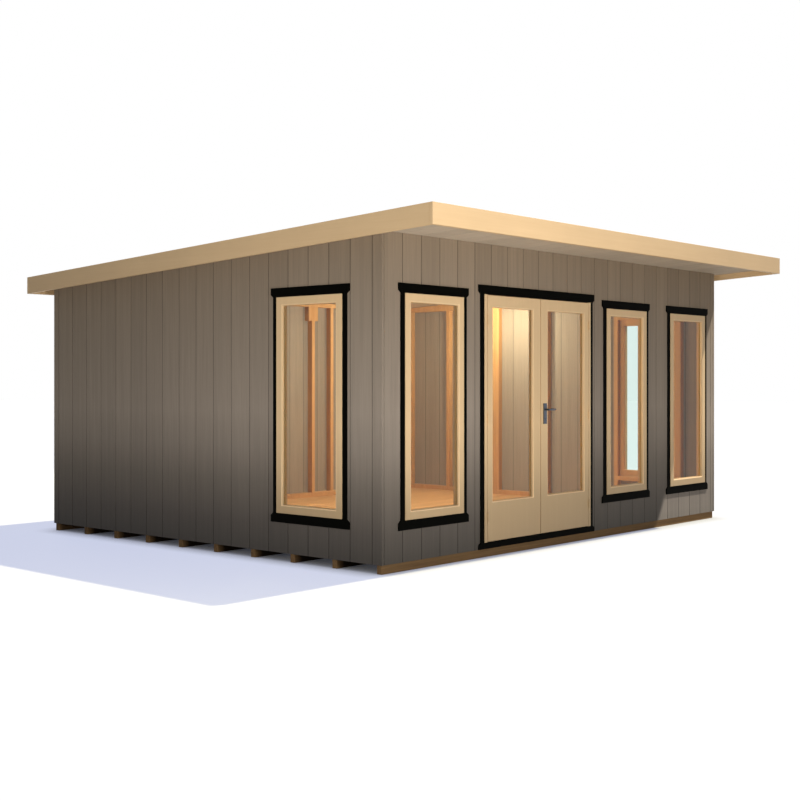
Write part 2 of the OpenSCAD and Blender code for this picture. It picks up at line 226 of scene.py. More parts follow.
def grain(finish, point, along, shift=None):
    """Streaks from 0 to 1 that run along one direction, moved by a wire where one is given."""
    layers = []
    for across_scale, along_scale, share in GRAIN:
        scales = [across_scale] * 3
        scales[along] = along_scale
        layer = times(finish, point, scales)
        if shift is not None:
            move = finish.add("CombineXYZ", None, {0: shift, 1: shift, 2: shift})
            layer = finish.add("VectorMath", {"operation": "ADD"}, {0: layer, 1: move})
        layers.append(noise(finish, layer) * share)
    return sum(layers)


print("layers of grain:", len(GRAIN))

# %% [markdown]
# The walls and the eaves are clad in boards about 208 mm wide, sawn and stained a warm grey. Boards
# of one delivery still differ a little, and one image for all would hide that. The number of each
# board is worked out from its place, and a white noise of that number gives the board its own tone
# and its own stretch of grain. Outside, the boards are made darker and greyer towards the ground, a
# painted shade with some splashing in it, and darker and warmer under the eaves, a painted shade with
# warm bounce light in it; the inner faces keep the colour of the stain. This painted shade could be
# left to the lamps, but then it would be lost under any other light.

# %% The colours of the grey boards
BOARD_PITCH = 0.2082
BOARD_COLOUR = (0.388, 0.322, 0.262)
BOARD_DARK = (0.182, 0.151, 0.121)
BOARD_CONTRAST = 0.4
# The roof boards are the walls' boards, made lighter by a painted light from the ground below
SOFFIT_LIT_COLOUR = (0.66, 0.545, 0.42)
SOFFIT_LIT_DARK = (0.46, 0.375, 0.285)
# The height over which the tones of walls and windows change
WALL_HEIGHT = 2.4
# Painted shade by height, with some splashing in it: darker and greyer near the ground, darker and warmer
# under the eaves
SHADE_AND_SPLASHES_BY_HEIGHT = (
    (0.04, (0.195, 0.205, 0.215)), (0.11, (0.275, 0.285, 0.30)), (0.24, (0.52, 0.53, 0.54)),
    (0.35, (0.83, 0.84, 0.85)), (0.46, (1.0, 1.0, 1.0)), (0.70, (0.88, 0.855, 0.81)),
    (1.0, (0.79, 0.725, 0.615)),
)
INDOORS = (0.92, 0.89, 0.84)
print("boards to a metre:", round(1 / BOARD_PITCH, 2))

# %% [markdown]
# At the right end of the front the sun comes in past the end of the roof. Its light is painted into
# the boards there as a paler tone down to the ground. A round patch of paler tone would look like a
# mistake. So the patch has the outline that the sun itself draws: a line that leans away from the
# roof's end.

# %% Painted sunlight at the sunny end
# The roof falls this much in each metre from the front to the back
ROOF_FALL = 0.052
# How far the sun's edge moves to the left for each metre down, and how soft it is, in metres
SUN_LEAN = 0.5588
SUN_BLUR = 0.05
# How strong the painted sunlight is by height, and how much lighter it makes the boards at most
PAINTED_SUN_BY_HEIGHT = (
    (0.03, 0.97), (0.06, 0.89), (0.09, 0.71), (0.17, 0.40), (0.275, 0.20), (0.48, 0.05), (0.72, 0.09),
)
PAINTED_SUN_GAIN = 2.5
roof_end_low, roof_end_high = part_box("fascia_right")
roof_end_foot = roof_end_low.z + ROOF_FALL * (roof_end_high.y - roof_end_low.y)
print("lowest point of the roof's front right corner:", round(roof_end_foot, 3))


def painted_sunlight(finish, axes):
    """The painted sunlight: how much lighter the front is made past the roof's shadow, most near the
    ground.
    """
    past_edge = axes[X] + (roof_end_foot - axes[Z]) * SUN_LEAN - roof_end_high.x
    lit = ramp(finish, past_edge / SUN_BLUR, (0.0, 0), (1.0, 1)) * (axes[Y] < 0)
    return lit * ramp(finish, axes[Z] / WALL_HEIGHT, *PAINTED_SUN_BY_HEIGHT) * PAINTED_SUN_GAIN + 1


# %% [markdown]
# With these colours, one recipe makes every boarded surface. It could be four recipes, for the front,
# the sides, the eaves and the floor, but they differ only in the way the boards run and where the
# first joint is. Each joint is also a little darker than its boards, as dust and shade make it.

# %% The finish of boards
GRAIN_SHIFT = 40
JOINT_EDGE = ((0.478, 0), (0.496, 1))
JOINT_SHADE = 0.65


def board_finish(name, across, along, first, pitch, light, dark, room=None):
    """Boards across one axis, along another; a wall gives its room's axis, middle and half width."""
    finish = Finish(name)
    point = place(finish)
    axes = axes_of(finish, point)
    boards = (axes[across] - first) / pitch
    tone = finish.add("TexWhiteNoise", {"noise_dimensions": "1D"}, {"W": boards.sum("FLOOR")})
    streaks = grain(finish, point, along, tone * GRAIN_SHIFT)
    share = ramp(finish, streaks, (0.34, 0), (0.66, 1))
    low = [(1 - BOARD_CONTRAST) * a + BOARD_CONTRAST * b for a, b in zip(light, dark)]
    colour = mixed(finish, share, low, light)
    joint = ramp(finish, (boards.sum("FRACT") - 0.5).sum("ABSOLUTE"), *JOINT_EDGE)
    if room:
        axis, middle, half_width = room
        inside = (axes[axis] - middle).sum("ABSOLUTE") < half_width
        # Outside the room the boards take the painted shade by height; their inner faces keep the stain
        weather = ramp(finish, axes[Z] / WALL_HEIGHT, *SHADE_AND_SPLASHES_BY_HEIGHT)
        colour = times(finish, colour, mixed(finish, inside, weather, INDOORS))
        if across == X:
            # The front's boards are made lighter by the painted sunlight at its right end
            colour = toned(finish, colour, painted_sunlight(finish, axes))
    surface = solid(
        finish,
        Base_Color=toned(finish, colour, between(tone, 0.95, 1.05) * (1 - joint * JOINT_SHADE)),
        Roughness=between(streaks, 0.62, 0.82),
        Normal=bumped(finish, streaks, depth=0.0012, strength=0.6),
        Specular_IOR_Level=0.3,
    )
    return finish.finish_with(surface)


print("a joint keeps", round(1 - JOINT_SHADE, 2), "of the boards' tone")

# %% [markdown]
# The other timbers are the planed pine of the framing, the cream paint of the roof's edge, windows
# and doors, the black boards round the openings, and the brown treated bearers on the ground.
# One recipe serves them all: two colours mixed by the grain, a roughness and a depth of grain.

# %% Planed and painted timber
# The roof's edge has a darker cream than the windows and doors, a painted shade that keeps it from going
# white in the sun
SHADED_CREAM = (0.775, 0.55, 0.31)
SHADED_CREAM_DARK = (0.735, 0.51, 0.28)
PINE = (0.68, 0.385, 0.170)
PINE_DARK = (0.54, 0.275, 0.098)
BLACK = (0.0022, 0.0021, 0.0014)
BLACK_DARK = (0.0012, 0.0012, 0.0008)


def timber_colour(finish, point, along, light, dark):
    """The colour of a timber, and the streaks that it comes from."""
    streaks = grain(finish, point, along)
    return mixed(finish, ramp(finish, streaks, (0.35, 0), (0.65, 1)), dark, light), streaks


def timber_finish(name, along, light, dark, roughness, depth, gloss=0.4):
    """A timber whose tone also changes in broad patches; depth is that of its grain, in metres."""
    finish = Finish(name)
    point = place(finish)
    colour, streaks = timber_colour(finish, point, along, light, dark)
    patches = noise(finish, times(finish, point, (1.7, 1.7, 1.7)))
    surface = solid(
        finish,
        Base_Color=toned(finish, colour, between(patches, 0.93, 1.07)),
        Roughness=between(streaks, roughness - 0.06, roughness + 0.06),
        Normal=bumped(finish, streaks, depth),
        Specular_IOR_Level=gloss,
    )
    return finish.finish_with(surface)


cream_x = timber_finish("cream paint along X", X, SHADED_CREAM, SHADED_CREAM_DARK, roughness=0.5, depth=0.0004)
cream_y = timber_finish("cream paint along Y", Y, SHADED_CREAM, SHADED_CREAM_DARK, roughness=0.5, depth=0.0004)
black_paint = timber_finish("black paint", Z, BLACK, BLACK_DARK, roughness=0.6, depth=0.0005, gloss=0.012)
pine_y = timber_finish("pine along Y", Y, PINE, PINE_DARK, roughness=0.55, depth=0.0005)
pine_z = timber_finish("pine along Z", Z, PINE, PINE_DARK, roughness=0.55, depth=0.0005)
print("timbers:", [material.name for material in (cream_x, cream_y, black_paint, pine_y, pine_z)])

# %% [markdown]
# The bearers stick out a little under the walls. Their ends are brown, and the wood under the floor
# is painted nearly black, a painted shade of the dark space under the room. The finish measures how
# far in from the edge a point lies, which also holds for a bearer that is longer or stands elsewhere.

# %% The treated bearers
TREATED = (0.205, 0.122, 0.055)
TREATED_DARK = (0.105, 0.062, 0.030)
# The painted shade by the distance in from the edge, as a share of the first 100 mm
EDGE_DEPTH = 0.1
UNDER_FLOOR_SHADE = ((0.12, 1), (0.75, 0.10))
# The bearers share this much of the painted sunlight of the front's boards
PAINTED_SUN_SHARE = 0.25


def bearer_finish():
    """Treated timber, painted nearly black with shade under the floor, and paler with painted sunlight at
    the sunny end.
    """
    finish = Finish("treated timber")
    point = place(finish)
    axes = axes_of(finish, point)
    colour, streaks = timber_colour(finish, point, X, TREATED, TREATED_DARK)
    low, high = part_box("floor_bearers")
    inside_x = high.x - axes[X].sum("ABSOLUTE")
    inside_y = (axes[Y] - low.y).sum("MINIMUM", high.y - axes[Y])
    under_floor_shade = ramp(finish, inside_x.sum("MINIMUM", inside_y) / EDGE_DEPTH, *UNDER_FLOOR_SHADE)
    surface = solid(
        finish,
        Base_Color=toned(finish, colour, under_floor_shade * ((painted_sunlight(finish, axes) - 1) * PAINTED_SUN_SHARE + 1)),
        Roughness=between(streaks, 0.69, 0.81),
        Normal=bumped(finish, streaks, depth=0.0012),
        Specular_IOR_Level=0.15,
    )
    return finish.finish_with(surface)


treated = bearer_finish()
print("finish:", treated.name)

# %% [markdown]
# The windows and doors are painted cream outside and left as clear pine inside, and the paint
# stops at the glass. They could be two pieces each; one finish that changes colour at the plane of
# the glass keeps each frame whole, and moves with a door as it opens.

# %% Cream outside, pine inside
JOINERY = (0.88, 0.625, 0.35)
JOINERY_DARK = (0.84, 0.59, 0.325)
# The paint by height: darker near the ground, a painted shade with some splashing in it, and darker under
# the eaves, a painted shade
PAINT_SHADE_AND_SPLASHES = ((0.04, 0.48), (0.17, 0.61), (0.30, 0.86), (0.42, 1.0), (0.8, 0.91), (1.0, 0.86))
HALF_PANE = 0.002


def two_sided_finish(name, axis, plane, inward):
    """Paint on the outer side of a plane across an axis, and pine on the inner side."""
    finish = Finish(name)
    point = place(finish)
    axes = axes_of(finish, point)
    paint, streaks = timber_colour(finish, point, Z, JOINERY, JOINERY_DARK)
    # The paint takes the painted shade by height
    paint = toned(finish, paint, ramp(finish, axes[Z] / WALL_HEIGHT, *PAINT_SHADE_AND_SPLASHES))
    pine = timber_colour(finish, point, Z, PINE, PINE_DARK)[0]
    inside = axes[axis] * inward > plane * inward
    surface = solid(
        finish,
        Base_Color=mixed(finish, inside, paint, pine),
        Roughness=between(streaks, 0.43, 0.53),
        Normal=bumped(finish, streaks, depth=0.0004),
        Specular_IOR_Level=0.35,
    )
    return finish.finish_with(surface)


front_glass, side_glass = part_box("front_window_glass"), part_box("side_window_glass")
front_plane = (front_glass[0].y + front_glass[1].y) / 2
left_plane = side_glass[0].x + HALF_PANE
right_plane = side_glass[1].x - HALF_PANE
front_joinery = two_sided_finish("front joinery", Y, front_plane, 1)
left_joinery = two_sided_finish("left joinery", X, left_plane, 1)
right_joinery = two_sided_finish("right joinery", X, right_plane, -1)
print("planes of the glass:", round(front_plane, 4), round(left_plane, 4), round(right_plane, 4))

# %% [markdown]
# The glass is clear float glass. A refracting glass would stop the lamps' light at the pane and
# leave the room dark, so the pane lets light straight through, and mirrors the surroundings more
# and more towards a grazing view, by Fresnel's law, as a real pane does. Only its outer faces mirror.

# %% Glass
GLASS_TINT = (0.935, 0.982, 0.968, 1)
MIRROR_TINT = (0.55, 0.57, 0.58, 1)


def glass_finish():
    finish = Finish("clear glass")
    through = finish.add("BsdfTransparent", None, {"Color": GLASS_TINT})
    mirror = finish.add("BsdfGlossy", None, {"Color": MIRROR_TINT, "Roughness": 0.015})
    from_behind = finish.add("NewGeometry", out="Backfacing")
    share = finish.add("Fresnel", None, {"IOR": 1.5}) * (1 - from_behind)
    return finish.finish_with(finish.add("MixShader", None, {0: share, 1: through, 2: mirror}))


glass = glass_finish()
print("finish:", glass.name)

# %% [markdown]
# The lever, its plates and the lock are satin steel, and the hinges are painted with the doors. The
# metals could share one grey, but satin steel is brushed one way, which a fine stretched noise in the
# roughness gives, while worn paint shows as small darker patches.

# %% Steel and painted steel
STEEL = (0.13, 0.145, 0.175)
STEEL_DARK = (0.075, 0.085, 0.105)
HINGE_TONE = 0.9


def steel_finish():
    finish = Finish("satin steel")
    point = place(finish)
    brushed = noise(finish, times(finish, point, (900, 900, 60)))
    worn = noise(finish, times(finish, point, (60, 60, 60)), detail=3.0)
    surface = solid(
        finish,
        Base_Color=mixed(finish, worn, STEEL_DARK, STEEL),
        Metallic=1.0,
        Roughness=brushed * 0.12 + worn * 0.1 + 0.24,
        Normal=bumped(finish, brushed, depth=0.00005, strength=0.3),
    )
    return finish.finish_with(surface)


def painted_steel_finish():
    finish = Finish("painted hinges")
    point = place(finish)
    height = axes_of(finish, point)[Z] / WALL_HEIGHT
    worn = noise(finish, times(finish, point, (90, 90, 30)), detail=3.0)
    colour = mixed(finish, ramp(finish, worn, (0.62, 0), (0.72, 1)), JOINERY, JOINERY_DARK)
    surface = solid(
        finish,
        # The hinges take the doors' painted shade by height
        Base_Color=toned(finish, colour, ramp(finish, height, *PAINT_SHADE_AND_SPLASHES) * HINGE_TONE),
        Roughness=between(worn, 0.42, 0.52),
        Normal=bumped(finish, worn, depth=0.0002, strength=0.4),
    )
    return finish.finish_with(surface)


steel = steel_finish()
painted_steel = painted_steel_finish()
print("finishes:", steel.name, "and", painted_steel.name)

# %% [markdown]
# The roof's felt is covered with mineral chips, and a broad noise over them stands for the way it
# dries in patches. The seals between the doors are a soft brown rubber, whose wear runs up and down.

# %% Roofing felt and rubber
FELT = (0.085, 0.087, 0.092)
FELT_DARK = (0.034, 0.035, 0.038)
RUBBER = (0.49, 0.29, 0.13)
RUBBER_DARK = (0.41, 0.235, 0.10)


def felt_finish():
    finish = Finish("roofing felt")
    point = place(finish)
    chips = noise(finish, times(finish, point, (700, 700, 700)))
    weather = noise(finish, times(finish, point, (1.3, 2.2, 1.3)), detail=4.0)
    colour = mixed(finish, ramp(finish, chips, (0.42, 0), (0.62, 1)), FELT_DARK, FELT)
    surface = solid(
        finish,
        Base_Color=toned(finish, colour, between(weather, 0.75, 1.25)),
        Roughness=between(chips, 0.85, 0.95),
        Normal=bumped(finish, chips, depth=0.0008, strength=0.8),
    )
    return finish.finish_with(surface)


def rubber_finish():
    finish = Finish("seal rubber")
    wear = noise(finish, times(finish, place(finish), (40, 40, 6)), detail=3.0)
    colour = mixed(finish, wear, RUBBER_DARK, RUBBER)
    return finish.finish_with(solid(finish, Base_Color=colour, Roughness=between(wear, 0.55, 0.70)))


felt = felt_finish()
rubber = rubber_finish()
print("finishes:", felt.name, "and", rubber.name)

# %% [markdown]
# The new pieces are all made in the same way: a function fills an empty mesh with points and faces,
# and the piece is given its body, its slot and its finish. Many of them are tubes of some kind, a ring
# of points that is joined to the next ring, so that joining is written once.

# %% New pieces and tubes
def new_piece(name, body, material, build, replaced=()):
    """Makes a piece from a bmesh that a function fills, and gives it its body and its finish."""
    bm = bmesh.new()
    build(bm)
    bmesh.ops.remove_doubles(bm, verts=bm.verts, dist=1e-6)
    bmesh.ops.recalc_face_normals(bm, faces=bm.faces)
    mesh = bpy.data.meshes.new(name)
    bm.to_mesh(mesh)
    bm.free()
    mesh.materials.append(material)
    piece = bpy.data.objects.new(name, mesh)
    bpy.context.scene.collection.objects.link(piece)
    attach(piece, body)
    if replaced:
        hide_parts(*replaced)
    print(name, "faces:", len(mesh.polygons))


def tube(bm, rings):
    """Joins each ring of points to the next with faces."""
    for near_ring, far_ring in zip(rings, rings[1:]):
        for k in range(len(near_ring)):
            n = (k + 1) % len(near_ring)
            bm.faces.new([near_ring[k], near_ring[n], far_ring[n], far_ring[k]])


def closed_tube(bm, rings):
    """A tube with a face over each end."""
    tube(bm, rings)
    bm.faces.new(rings[0])
    bm.faces.new(rings[-1])


def set_back(axis, face, inward):
    """A function that places a point by its width, its depth behind a face across an axis, and height."""
    def put(a, depth, z):
        behind = face + inward * depth
        return (behind, a, z) if axis == X else (a, behind, z)
    return put


# %% [markdown]
# A wall of boards is one closed panel with a V joint between each board and the next. Each board
# could be its own block, which leaves hairline gaps that light leaks through. Here the panel is a
# grid of columns and rows: the joints and the openings give its lines, the points on a joint's
# middle line are set back, and the cells in an opening are left out, with the edges closed.

# %% A panel of jointed boards
JOINT_WIDTH = 0.009
JOINT_DEPTH = 0.005
# Lines of the grid that lie closer than this are one line
SAME_LINE = 1e-5
SQUARE = ((0, 0), (1, 0), (1, 1), (0, 1))


def joint_depth(a, joints):
    """How far the face of the boards is set back at a width: fully at a joint, and not between two."""
    depths = [JOINT_DEPTH * (1 - abs(a - joint) / (JOINT_WIDTH / 2)) for joint in joints]
    return max([0, *depths])


def grid_lines(across, joints, holes):
    """The lines between the columns, in order."""
    wanted = [*across]
    for joint in joints:
        wanted += [joint - JOINT_WIDTH / 2, joint, joint + JOINT_WIDTH / 2]
    for hole in holes:
        wanted += hole[:2]
    lines = []
    for line in sorted(wanted):
        if across[0] <= line <= across[1] and (not lines or line - lines[-1] > SAME_LINE):
            lines.append(line)
    return lines


def jointed_panel(across, joints, holes, low, top, thickness, put):
    """A function that fills a bmesh: put(a, depth, s) gives the point in the part's frame."""
    lines = grid_lines(across, joints, holes)
    levels = sorted({low, *[level for hole in holes for level in hole[2:]]})

    def is_solid(i, j):
        if not (0 <= i < len(lines) - 1 and 0 <= j < len(levels)):
            return False
        a = (lines[i] + lines[i + 1]) / 2
        above = levels[j + 1] if j + 1 < len(levels) else levels[j] + JOINT_WIDTH
        s = (levels[j] + above) / 2
        return not any(start < a < end and foot < s < head for start, end, foot, head in holes)

    def build(bm):
        corners = {}

        def corner(i, j, back):
            if (i, j, back) not in corners:
                s = levels[j] if j < len(levels) else top(lines[i])
                depth = thickness if back else joint_depth(lines[i], joints)
                corners[i, j, back] = bm.verts.new(put(lines[i], depth, s))
            return corners[i, j, back]

        cells = [(i, j) for i in range(len(lines) - 1) for j in range(len(levels)) if is_solid(i, j)]
        for i, j in cells:
            for back in (False, True):
                bm.faces.new([corner(i + u, j + v, back) for u, v in SQUARE])
            sides = (
                ((i - 1, j), (i, j), (i, j + 1)),
                ((i + 1, j), (i + 1, j), (i + 1, j + 1)),
                ((i, j - 1), (i, j), (i + 1, j)),
                ((i, j + 1), (i, j + 1), (i + 1, j + 1)),
            )
            for neighbour, start, end in sides:
                if not is_solid(*neighbour):
                    edge = ((start, False), (end, False), (end, True), (start, True))
                    bm.faces.new([corner(*at, back) for at, back in edge])

    return build


print("V joints:", JOINT_WIDTH, "wide and", JOINT_DEPTH, "deep")

# %% [markdown]
# The joints are where the photograph shows them: on the front wall they are counted from a first
# one 220 mm from the left corner, on the side walls from one 91 mm behind the front corner, and a
# narrow strip closes each corner of the front. The sides that can't be seen repeat these.

# %% Where the boards start
left_box, right_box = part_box("cladding_left"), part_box("cladding_right")
wall_left, wall_right = left_box[0].x, right_box[1].x
wall_front, wall_back = left_box[0].y, left_box[1].y
wall_low, eaves_top = left_box[0].z, left_box[1].z
board_t = left_box[1].x - left_box[0].x
FRONT_FIRST = wall_left + 0.2196
SIDE_FIRST = wall_front + 0.091
CORNER_STRIP = 0.027
# No joint lies closer than this to the end of a panel
END_CLEAR = 0.01
MOST_BOARDS = 40


def under_roof(y):
    """The height of the underside of the roof boards."""
    return eaves_top - ROOF_FALL * (y - wall_front)


def joints_between(first, low, high):
    """The board joints between two ends of a panel."""
    joints = [first + k * BOARD_PITCH for k in range(-MOST_BOARDS, MOST_BOARDS)]
    return [joint for joint in joints if low + END_CLEAR < joint < high - END_CLEAR]


def opening(node, axis):
    """The rectangle that a solid fills in a wall: its two sides, its foot and its top."""
    low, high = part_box(node)
    return (low[axis], high[axis], low.z, high.z)


print("walls:", round(wall_right - wall_left, 3), "by", round(wall_back - wall_front, 3))

# %% [markdown]
# A wall's finish has to tell its outer face from its inner one. The room between the walls is given
# to it as a middle and a half width, which reaches just into the boards, so that their inner faces
# lie in the room and the joints outside don't.

# %% The boards of the side walls
INNER_FACE = 0.0005


def room_between(axis, low, high):
    """The axis of a room, its middle and its half width."""
    return (axis, (low + high) / 2, (high - low) / 2 - board_t + INNER_FACE)


grey_front = board_finish(
    "grey boards front", X, Z, FRONT_FIRST, BOARD_PITCH, BOARD_COLOUR, BOARD_DARK,
    room_between(Y, wall_front, wall_back),
)
grey_side = board_finish(
    "grey boards side", Y, Z, SIDE_FIRST, BOARD_PITCH, BOARD_COLOUR, BOARD_DARK,
    room_between(X, wall_left, wall_right),
)
for side, face, inward in (("left", wall_left, 1), ("right", wall_right, -1)):
    panel = jointed_panel(
        (wall_front, wall_back), joints_between(SIDE_FIRST, wall_front, wall_back),
        [opening("window_" + side, Y)], wall_low, under_roof, board_t, set_back(X, face, inward),
    )
    new_piece("boards_" + side, "building", grey_side, panel, ["cladding_" + side])

# %% [markdown]
# The front is boarded in three parts, left of the doorway, right of it and over it, and the back in
# one. Their tops are level, so all four come from one function; only the strips at the corners and
# the windows' openings differ.

# %% The boards of the front and the back
LEFT_STRIP = wall_left + CORNER_STRIP
RIGHT_STRIP = wall_right - CORNER_STRIP
front_face = set_back(Y, wall_front, 1)
back_face = set_back(Y, wall_back, -1)


def level_boards(name, node, put, windows, strips):
    """The boards of one solid with a level top, round its windows and with its corner strips."""
    low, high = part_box(node)
    joints = joints_between(FRONT_FIRST, low.x, high.x) + strips
    holes = [opening(window, X) for window in windows]
    panel = jointed_panel((low.x, high.x), joints, holes, low.z, lambda a: high.z, board_t, put)
    new_piece(name, "building", grey_front, panel, [node])


level_boards("boards_front_left", "cladding_front_left", front_face, ["window_front_1"], [LEFT_STRIP])
level_boards(
    "boards_front_right", "cladding_front_right", front_face, ["window_front_2", "window_front_3"],
    [RIGHT_STRIP],
)
level_boards("boards_over_door", "cladding_over_door", front_face, [], [])
level_boards("boards_back", "cladding_back", back_face, [], [LEFT_STRIP, RIGHT_STRIP])

# %% [markdown]
# The roof boards run from the front to the back, and only their undersides show, at the eaves. The
# floor is planed pine boards. Both are the same kind of panel, laid flat: the roof boards with
# their joints downwards and on the roof's slope, and the floor with its joints upwards.

# %% The roof boards and the floor
SOFFIT_T = 0.012
FLOOR_BOARD = 0.121
soffit_low, soffit_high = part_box("roof_soffit")
roof_x = (soffit_low.x, soffit_high.x)
# The undersides of the roof boards carry a painted light from the ground below
grey_soffit = board_finish(
    "grey boards under the roof", X, Y, FRONT_FIRST, BOARD_PITCH, SOFFIT_LIT_COLOUR, SOFFIT_LIT_DARK
)
soffit_panel = jointed_panel(
    roof_x, joints_between(FRONT_FIRST, *roof_x), [], soffit_low.y, lambda a: soffit_high.y, SOFFIT_T,
    lambda a, depth, s: (a, s, under_roof(s) + depth),
)
new_piece("roof_boards", "building", grey_soffit, soffit_panel, ["roof_soffit"])

floor_low, floor_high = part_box("floor_deck")
floor_first = floor_low.y + FLOOR_BOARD
floor_count = int((floor_high.y - floor_first) / FLOOR_BOARD)
pine_floor = board_finish("pine floor", Y, X, floor_first, FLOOR_BOARD, PINE, PINE_DARK)
floor_panel = jointed_panel(
    (floor_low.y, floor_high.y), [floor_first + k * FLOOR_BOARD for k in range(floor_count)], [],
    floor_low.x, lambda a: floor_high.x, floor_high.z - floor_low.z,
    lambda a, depth, s: (s, a, floor_high.z - depth),
)
new_piece("floor_boards", "building", pine_floor, floor_panel, ["floor_deck"])

# %% [markdown]
# The roof is covered with strips of mineral felt, laid from the foot of the slope upwards, each
# lapped 80 mm by the next. A flat sheet would look like card. The profile of all the strips is drawn
# once, down the slope, with a step at each lap, and then drawn out from side to side.

# %% The felt on the roof
FELT_WIDTH = 0.92
FELT_LAP = 0.08
FELT_T = 0.003
LAP_RISE = 0.002
# How far the felt climbs over a lap's edge, and how far it drops behind it
LAP_CLIMB = 0.01
LAP_DROP = 0.001
sheet_low, sheet_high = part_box("roof_sheet")


def sheet_base(y):
    """The height of the underside of the felt."""
    return sheet_high.z - FELT_T - ROOF_FALL * (y - sheet_low.y)


def felt_profile():
    """The felt's thickness along the slope, as pairs of Y and thickness."""
    lapped = FELT_T + LAP_RISE
    profile = [(sheet_low.y, FELT_T)]
    y = sheet_low.y + FELT_WIDTH
    while y + FELT_LAP < sheet_high.y:
        profile += [(y, FELT_T), (y + LAP_CLIMB, lapped), (y + FELT_LAP, lapped)]
        profile += [(y + FELT_LAP + LAP_DROP, FELT_T)]
        y += FELT_WIDTH
    return profile + [(sheet_high.y, FELT_T)]


def felt_strips(bm):
    profile = felt_profile()
    rings = []
    for x in (sheet_low.x, sheet_high.x):
        above = [bm.verts.new((x, y, sheet_base(y) + thickness)) for y, thickness in profile]
        below = [bm.verts.new((x, y, sheet_base(y))) for y, thickness in reversed(profile)]
        rings.append(above + below)
    closed_tube(bm, rings)


new_piece("roof_felt", "building", felt, felt_strips, ["roof_sheet"])

# %% [markdown]
# The solids that already have the right shape keep it and only lose their knife-sharp edges, as
# planed and painted timber does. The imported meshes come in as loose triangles, so the corners are
# welded, flat faces are joined again, and a small bevel catches the light along each edge.

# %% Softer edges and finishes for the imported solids
FRAMING = (
    "frame_left", "frame_right", "frame_back", "frame_front_left", "frame_front_right", "frame_over_door",
)
FLAT_WITHIN = math.radians(1)
EDGE_FROM = math.radians(35)
# Each finish with the width of its bevel and the solids that have it
DRESSES = (
    (cream_x, 0.002, ("fascia_front", "fascia_back")),
    (cream_y, 0.002, ("fascia_left", "fascia_right")),
    (black_paint, 0.0015, ("casing_left", "casing_right", "door_casing")),
    (black_paint, 0.0015, ("casing_front_1", "casing_front_2", "casing_front_3")),
    (front_joinery, 0.0012, ("window_front_1", "window_front_2", "window_front_3")),
    (front_joinery, 0.0012, ("left_leaf", "right_leaf", "door_frame")),
    (left_joinery, 0.0012, ("window_left",)),
    (right_joinery, 0.0012, ("window_right",)),
    (pine_z, 0.002, FRAMING),
    (pine_y, 0.0, ("roof_panel",)),
    (treated, 0.003, ("floor_bearers",)),
    (glass, 0.0, ("side_window_glass", "front_window_glass", "left_leaf_glass", "right_leaf_glass")),
    (painted_steel, 0.0, ("hinge_frame_halves", "left_leaf_hinges", "right_leaf_hinges")),
    (steel, 0.0, ("lever",)),
    (steel, 0.0015, ("handle_plates",)),
)


def soften(piece, width, segments):
    piece.modifiers.new("weld", "WELD").merge_threshold = SAME_LINE
    flat = piece.modifiers.new("flat faces", "DECIMATE")
    flat.decimate_type = "DISSOLVE"
    flat.angle_limit = FLAT_WITHIN
    edge = piece.modifiers.new("edges", "BEVEL")
    edge.width = width
    edge.segments = segments
    edge.limit_method = "ANGLE"
    edge.angle_limit = EDGE_FROM
    edge.use_clamp_overlap = True


for material, bevel, names in DRESSES:
    for name in names:
        if bevel:
            soften(nodes[name], bevel, 3 if material == steel else 2)
        for held in nodes[name].material_slots:
            held.link = "OBJECT"
            held.material = material
    print(material.name, "on:", *names)

# %% [markdown]
# Each pane is held by a bead on the outside, a thin strip nearly flush with the face of the frame,
# with a small chamfer towards the glass. It is painted a lighter cream than the frame, a painted
# highlight along the edge of the glass. A bead could be a bevel on the frame, but then it would have
# the frame's colour. It is drawn as a section, and that section is taken round the four sides of the
# glass with mitred corners, so that every corner closes.

# %% Glazing beads
# The bead's cream is lighter than the frame's, a painted highlight along the glass
BEAD_HIGHLIGHT = (0.90, 0.66, 0.385)
BEAD_HIGHLIGHT_DARK = (0.86, 0.62, 0.35)
# The bead's section, as pairs of the distance inwards and the depth behind the face
BEAD_SECTION = ((0.0, 0.0008), (0.0040, 0.0008), (0.0065, 0.0033), (0.0065, 0.0190), (0.0, 0.0190))
FRAME_MEMBER = 0.053
highlight_bead_paint = timber_finish("bead paint with a painted highlight", Z, BEAD_HIGHLIGHT, BEAD_HIGHLIGHT_DARK, roughness=0.45, depth=0.0003)


def mitred_ring(section, rectangle, put):
    """A function that fills a bmesh with a section taken round a rectangle, each point set inwards."""
    a0, a1, z0, z1 = rectangle

    def build(bm):
        rings = []
        for inset, depth in section:
            sides, levels = (a0 + inset, a1 - inset), (z0 + inset, z1 - inset)
            rings.append([bm.verts.new(put(sides[i], depth, levels[j])) for i, j in SQUARE])
        tube(bm, rings + rings[:1])
    return build


def beads(name, body, rectangle, put):
    new_piece(name, body, highlight_bead_paint, mitred_ring(BEAD_SECTION, rectangle, put))


def inside_frame(node, axis):
    """The rectangle between the members of a window's frame."""
    start, end, low, high = opening(node, axis)
    return (start + FRAME_MEMBER, end - FRAME_MEMBER, low + FRAME_MEMBER, high - FRAME_MEMBER)


for number in (1, 2, 3):
    window = f"window_front_{number}"
    face = set_back(Y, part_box(window)[0].y, 1)
    beads(f"beads_front_{number}", "building", inside_frame(window, X), face)
for side, end, inward in (("left", 0, 1), ("right", 1, -1)):
    window = "window_" + side
    face = set_back(X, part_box(window)[end].x, inward)
    beads("beads_" + side, "building", inside_frame(window, Y), face)
    face = set_back(Y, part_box(side + "_leaf")[0].y, 1)
    beads(side + "_door_beads", side + "_door", opening(side + "_leaf_glass", X), face)

# %% [markdown]
# A strip of brown rubber runs down the meeting edge of each door, and closes the gap between them.
# Its round nose is drawn as half an ellipse and stretched over the height of the door.

